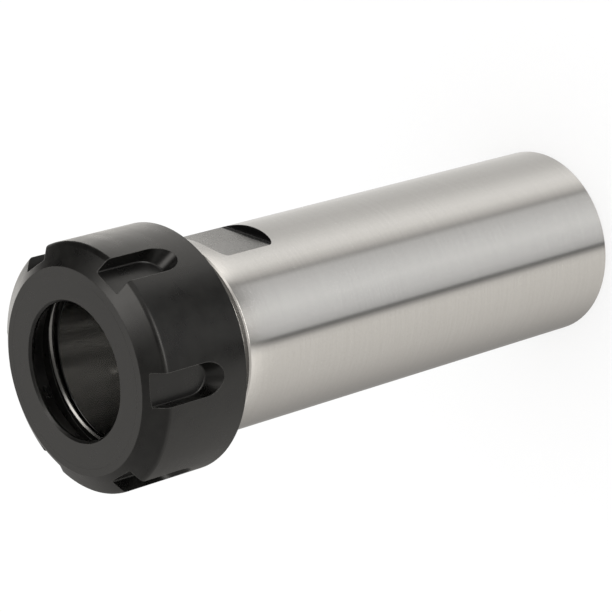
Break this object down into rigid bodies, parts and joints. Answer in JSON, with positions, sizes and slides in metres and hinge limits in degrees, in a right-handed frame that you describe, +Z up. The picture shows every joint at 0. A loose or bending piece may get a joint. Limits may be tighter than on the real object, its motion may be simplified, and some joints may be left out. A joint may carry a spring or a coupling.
{
  "type": "collet chuck holder",
  "caption": "Straight-shank collet chuck holder: ground steel shank with spanner flats, tapered collet seat inside and a slotted black clamping nut on its threaded nose.",
  "frame": {"origin": "centre of the shank's end face, where the holder stands", "axes": "+Z up the common axis of shank, nose and nut, towards the nut's mouth"},
  "size_m": [0.05, 0.05, 0.1305],
  "materials": {
    "ground_steel": "cylindrically ground bright steel",
    "black_oxide": "satin black oxide on turned and milled steel"
  },
  "bodies": {
    "chuck": {"chuck_body": "ground_steel"},
    "nut": {"clamping_nut": "black_oxide"},
    "stop": {"stop_screw": "black_oxide"}
  },
  "joints": [
    {"name": "nut_unscrew", "type": "slide", "parent": "chuck", "child": "nut", "axis": [0, 0, 1], "range_m": [0, 0.024]},
    {"name": "stop_setting", "type": "slide", "parent": "chuck", "child": "stop", "axis": [0, 0, 1], "range_m": [-0.0105, 0.0105]}
  ]
}
